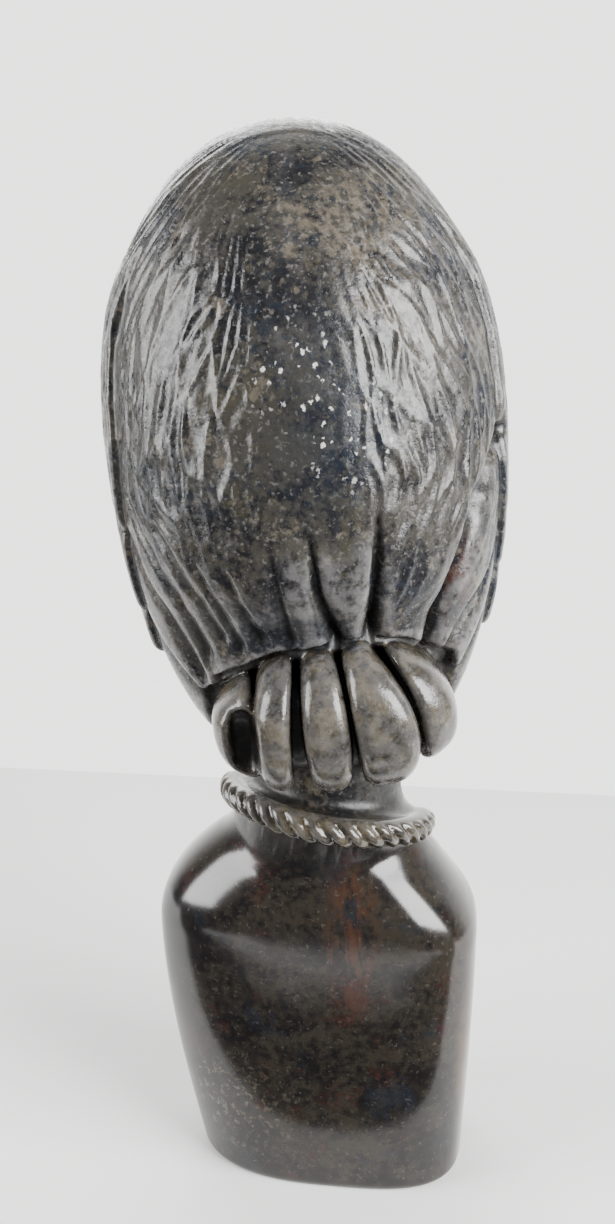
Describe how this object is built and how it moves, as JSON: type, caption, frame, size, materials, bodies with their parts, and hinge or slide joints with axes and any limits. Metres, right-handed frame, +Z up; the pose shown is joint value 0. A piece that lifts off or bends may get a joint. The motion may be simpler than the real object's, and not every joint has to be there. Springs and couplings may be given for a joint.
{
  "type": "carved stone bust",
  "caption": "Carved, polished stone bust: head in a gathered head wrap with a knotted nape, rope necklace and smooth shoulder block that stands on its flat foot.",
  "frame": {"origin": "centre of the flat underside, on the surface that the bust stands on", "axes": "+Z up along the bust, the face looks along -Y (turned a little towards +X), +X to the bust's left"},
  "size_m": [0.1305, 0.1433, 0.3477],
  "materials": {
    "stone": "polished"
  },
  "bodies": {
    "root": {"bust": "stone"}
  },
  "joints": []
}
